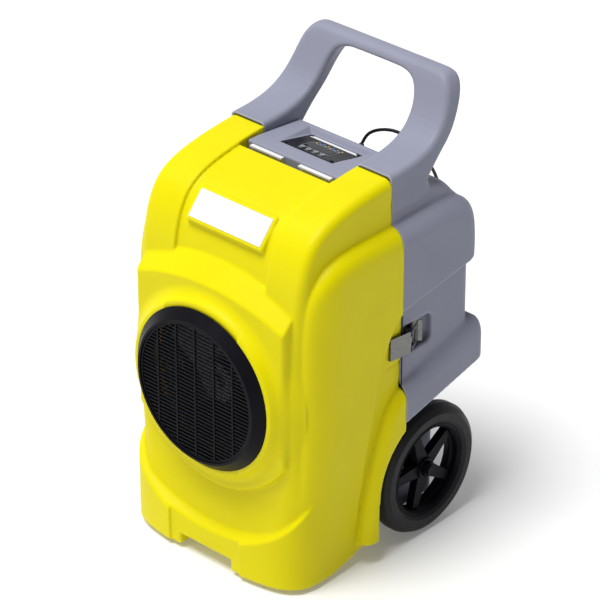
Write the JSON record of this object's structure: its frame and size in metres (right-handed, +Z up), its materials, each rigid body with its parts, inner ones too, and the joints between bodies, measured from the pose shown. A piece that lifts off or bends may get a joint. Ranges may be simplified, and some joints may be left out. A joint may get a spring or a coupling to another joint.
{
  "type": "portable dehumidifier",
  "caption": "Upright two-shell dehumidifier on wheels, with a round slotted outlet at the front, a loop handle, a control panel and side latches.",
  "frame": {"origin": "middle of the footprint on the floor, under the machine", "axes": "+X to the right of someone who stands in front and faces the outlet; -Y out of the round outlet; +Z up"},
  "size_m": [0.468, 0.648, 0.87],
  "materials": {
    "yellow_shell": "satin rotomoulded polyethylene",
    "grey_shell": "satin rotomoulded polyethylene",
    "black_plastic": "moulded, light texture",
    "black_rubber": "matt",
    "tyre": "matt",
    "bush_nylon": "smooth",
    "zinc_steel": "zinc plated",
    "dark_steel": "blackened",
    "stainless": "brushed",
    "motor_black": "enamel",
    "fan_alloy": "mill finish",
    "copper": "drawn tube",
    "brass_fitting": "turned",
    "grey_moulding": "vacuum formed",
    "clear_hose": "translucent hose",
    "white_plate": "smooth",
    "panel_black": "printed membrane",
    "display_glass": "smooth",
    "key_rubber": "smooth",
    "circuit_green": "lacquered",
    "filter_media": "pleated",
    "cord_black": "satin"
  },
  "bodies": {
    "cabinet": {"axle": "zinc_steel", "axle_brackets": "zinc_steel", "axle_washers": "zinc_steel", "badge_plate": "white_plate", "base_tray": "zinc_steel", "coil_frame": "zinc_steel", "compressor": "motor_black", "compressor_bolts": "zinc_steel", "compressor_mounts": "black_rubber", "condensate_pump": "black_plastic", "condenser_coil": "fan_alloy", "control_board": "circuit_green", "control_plate": "panel_black", "cord_coil": "cord_black", "cord_gland": "black_rubber", "display_lens": "display_glass", "drain_hoses": "clear_hose", "drain_spigot": "brass_fitting", "drip_pan": "grey_moulding", "electrical_box": "zinc_steel", "evaporator_coil": "fan_alloy", "fan_bracket": "zinc_steel", "fan_motor": "motor_black", "fan_shroud": "zinc_steel", "filter_drier": "copper", "float_switch": "white_plate", "front_feet": "black_rubber", "front_shell": "yellow_shell", "hanger_strips": "white_plate", "hub_caps": "black_plastic", "intake_frame": "black_plastic", "latch_brackets": "stainless", "latch_keepers": "stainless", "outlet_grille": "black_plastic", "outlet_ring": "black_plastic", "panel_screws": "dark_steel", "plug_body": "black_rubber", "plug_pins": "brass_fitting", "power_cord": "cord_black", "pump_tank": "grey_moulding", "rear_shell": "grey_shell", "refrigerant_lines": "copper", "run_capacitor": "fan_alloy", "seam_gasket": "black_rubber"},
    "wheel_left": {"tyre_left": "tyre", "rim_left": "black_plastic", "wheel_bush_left": "bush_nylon"},
    "wheel_right": {"tyre_right": "tyre", "rim_right": "black_plastic", "wheel_bush_right": "bush_nylon"},
    "fan": {"fan_blades": "fan_alloy"},
    "filter": {"air_filter": "filter_media"},
    "lever_left": {"latch_lever_left": "stainless"},
    "lever_right": {"latch_lever_right": "stainless"},
    "claw_left": {"latch_claw_left": "stainless"},
    "claw_right": {"latch_claw_right": "stainless"},
    "key_1_cap": {"key_1": "key_rubber"},
    "key_2_cap": {"key_2": "key_rubber"},
    "key_3_cap": {"key_3": "key_rubber"},
    "key_4_cap": {"key_4": "key_rubber"}
  },
  "joints": [
    {"name": "wheel_left_spin", "type": "hinge", "parent": "cabinet", "child": "wheel_left", "pos_m": [-0.206, 0.1165, 0.127], "axis": [1, 0, 0], "continuous": true},
    {"name": "wheel_right_spin", "type": "hinge", "parent": "cabinet", "child": "wheel_right", "pos_m": [0.206, 0.1165, 0.127], "axis": [1, 0, 0], "continuous": true},
    {"name": "fan_spin", "type": "hinge", "parent": "cabinet", "child": "fan", "pos_m": [0, -0.1835, 0.366], "axis": [0, 1, 0], "continuous": true},
    {"name": "filter_slide", "type": "slide", "parent": "cabinet", "child": "filter", "axis": [0, 1, 0], "range_m": [0, 0.04]},
    {"name": "lever_left_swing", "type": "hinge", "parent": "cabinet", "child": "lever_left", "pos_m": [-0.216, 0.0515, 0.423], "axis": [0, 0, 1], "range_deg": [0, 90]},
    {"name": "claw_left_swing", "type": "hinge", "parent": "lever_left", "child": "claw_left", "pos_m": [-0.214, 0.0675, 0.423], "axis": [0, 0, 1], "range_deg": [-90, 0]},
    {"name": "lever_right_swing", "type": "hinge", "parent": "cabinet", "child": "lever_right", "pos_m": [0.216, 0.0515, 0.423], "axis": [0, 0, -1], "range_deg": [0, 90]},
    {"name": "claw_right_swing", "type": "hinge", "parent": "lever_right", "child": "claw_right", "pos_m": [0.214, 0.0675, 0.423], "axis": [0, 0, -1], "range_deg": [-90, 0]},
    {"name": "key_1_press", "type": "slide", "parent": "cabinet", "child": "key_1_cap", "axis": [0, -0.2169, -0.9762], "range_m": [0, 0.0012], "stiffness_N_per_m": 300},
    {"name": "key_2_press", "type": "slide", "parent": "cabinet", "child": "key_2_cap", "axis": [0, -0.2169, -0.9762], "range_m": [0, 0.0012], "stiffness_N_per_m": 300},
    {"name": "key_3_press", "type": "slide", "parent": "cabinet", "child": "key_3_cap", "axis": [0, -0.2169, -0.9762], "range_m": [0, 0.0012], "stiffness_N_per_m": 300},
    {"name": "key_4_press", "type": "slide", "parent": "cabinet", "child": "key_4_cap", "axis": [0, -0.2169, -0.9762], "range_m": [0, 0.0012], "stiffness_N_per_m": 300}
  ],
  "couplings": [
    {"joint": "claw_left_swing", "follows": "lever_left_swing", "ratio": -1},
    {"joint": "claw_right_swing", "follows": "lever_right_swing", "ratio": -1}
  ]
}
